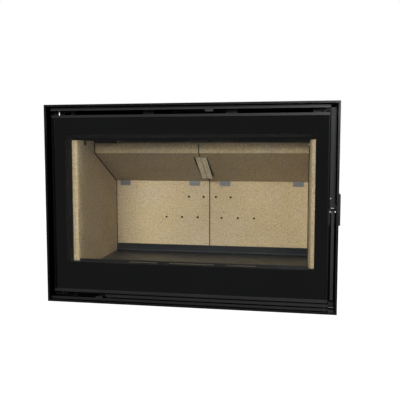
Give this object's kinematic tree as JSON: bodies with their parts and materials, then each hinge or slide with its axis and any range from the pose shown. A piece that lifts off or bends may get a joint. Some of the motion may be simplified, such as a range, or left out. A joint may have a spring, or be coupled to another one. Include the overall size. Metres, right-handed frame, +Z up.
{
  "type": "fireplace insert",
  "caption": "Landscape built-in wood-burning firebox with a slim black frame, side-hung glass door, hidden vertical handle, air slide, board lining and sloping baffle.",
  "frame": {"origin": "on the base plane, straight below the centre of the flue collar", "axes": "+X to the right seen from the front, +Y into the body away from the room, +Z up"},
  "size_m": [0.875, 0.5475, 0.612],
  "materials": {
    "black_paint": "matt black stove paint",
    "casing_steel": "zinc-coated sheet with a faint crystal pattern",
    "firebox_steel": "matt heat-proof paint on thick plate",
    "hearth_steel": "dark grey plate",
    "bracket_steel": "plain grey steel",
    "lining_board": "pressed vermiculite board, speckled beige",
    "duct_steel": "black-coated sheet",
    "door_glass": "clear ceramic glass",
    "rope_seal": "dark woven glass-fibre rope",
    "zinc": "bright zinc plating",
    "bearing_bronze": "dark oiled bronze"
  },
  "bodies": {
    "housing": {"front_frame": "black_paint", "outlet_bar": "black_paint", "outlet_plate": "black_paint", "side_channel": "black_paint", "upper_louvre": "black_paint", "lower_louvre": "black_paint", "louvre_posts": "black_paint", "casing_left": "casing_steel", "casing_right": "casing_steel", "casing_top": "casing_steel", "casing_back": "casing_steel", "casing_base": "duct_steel", "casing_screws": "zinc", "firebox_front": "firebox_steel", "firebox_left": "firebox_steel", "firebox_right": "firebox_steel", "firebox_back": "firebox_steel", "firebox_top": "firebox_steel", "firebox_floor": "firebox_steel", "firebox_rails": "firebox_steel", "flue_collar": "firebox_steel", "hearth_tray": "hearth_steel", "log_guard": "hearth_steel", "baffle_brackets": "bracket_steel", "board_hooks": "bracket_steel", "smoke_deflector": "firebox_steel", "side_board_left": "lining_board", "side_board_right": "lining_board", "back_board_left": "lining_board", "back_board_right": "lining_board", "baffle_left": "lining_board", "baffle_right": "lining_board", "baffle_key": "lining_board", "air_spigot": "casing_steel", "air_box": "duct_steel", "air_manifold": "duct_steel", "airwash_riser_left": "duct_steel", "airwash_riser_right": "duct_steel", "airwash_channel": "firebox_steel", "rear_air_duct": "duct_steel", "slide_rail": "duct_steel", "hinge_brackets": "black_paint", "hinge_bushes": "bearing_bronze", "hinge_washer": "bearing_bronze", "catch_box": "black_paint", "catch_pin": "zinc", "catch_screws": "zinc"},
    "door": {"door_frame": "black_paint", "door_glass": "door_glass", "glass_gasket": "rope_seal", "door_top_trim": "black_paint", "door_bottom_trim": "black_paint", "door_seal": "rope_seal", "hinge_pins": "zinc", "lever_bracket": "black_paint", "lever_pin": "zinc"},
    "handle": {"handle_lever": "black_paint"},
    "air_control": {"air_slide": "duct_steel", "air_knob": "black_paint"},
    "catch_roller": {"catch_roller": "zinc"}
  },
  "joints": [
    {"name": "door_hinge", "type": "hinge", "parent": "housing", "child": "door", "pos_m": [-0.404, -0.228, 0.3], "axis": [0, 0, -1], "range_deg": [0, 100]},
    {"name": "handle_pivot", "type": "hinge", "parent": "door", "child": "handle", "pos_m": [0.41975, -0.238, 0.289], "axis": [-1, 0, 0], "range_deg": [0, 30]},
    {"name": "air_slider", "type": "slide", "parent": "housing", "child": "air_control", "axis": [1, 0, 0], "range_m": [-0.08, 0.004]},
    {"name": "catch_roller_spin", "type": "hinge", "parent": "housing", "child": "catch_roller", "pos_m": [0.41975, -0.22, 0.301], "axis": [1, 0, 0], "continuous": true}
  ]
}
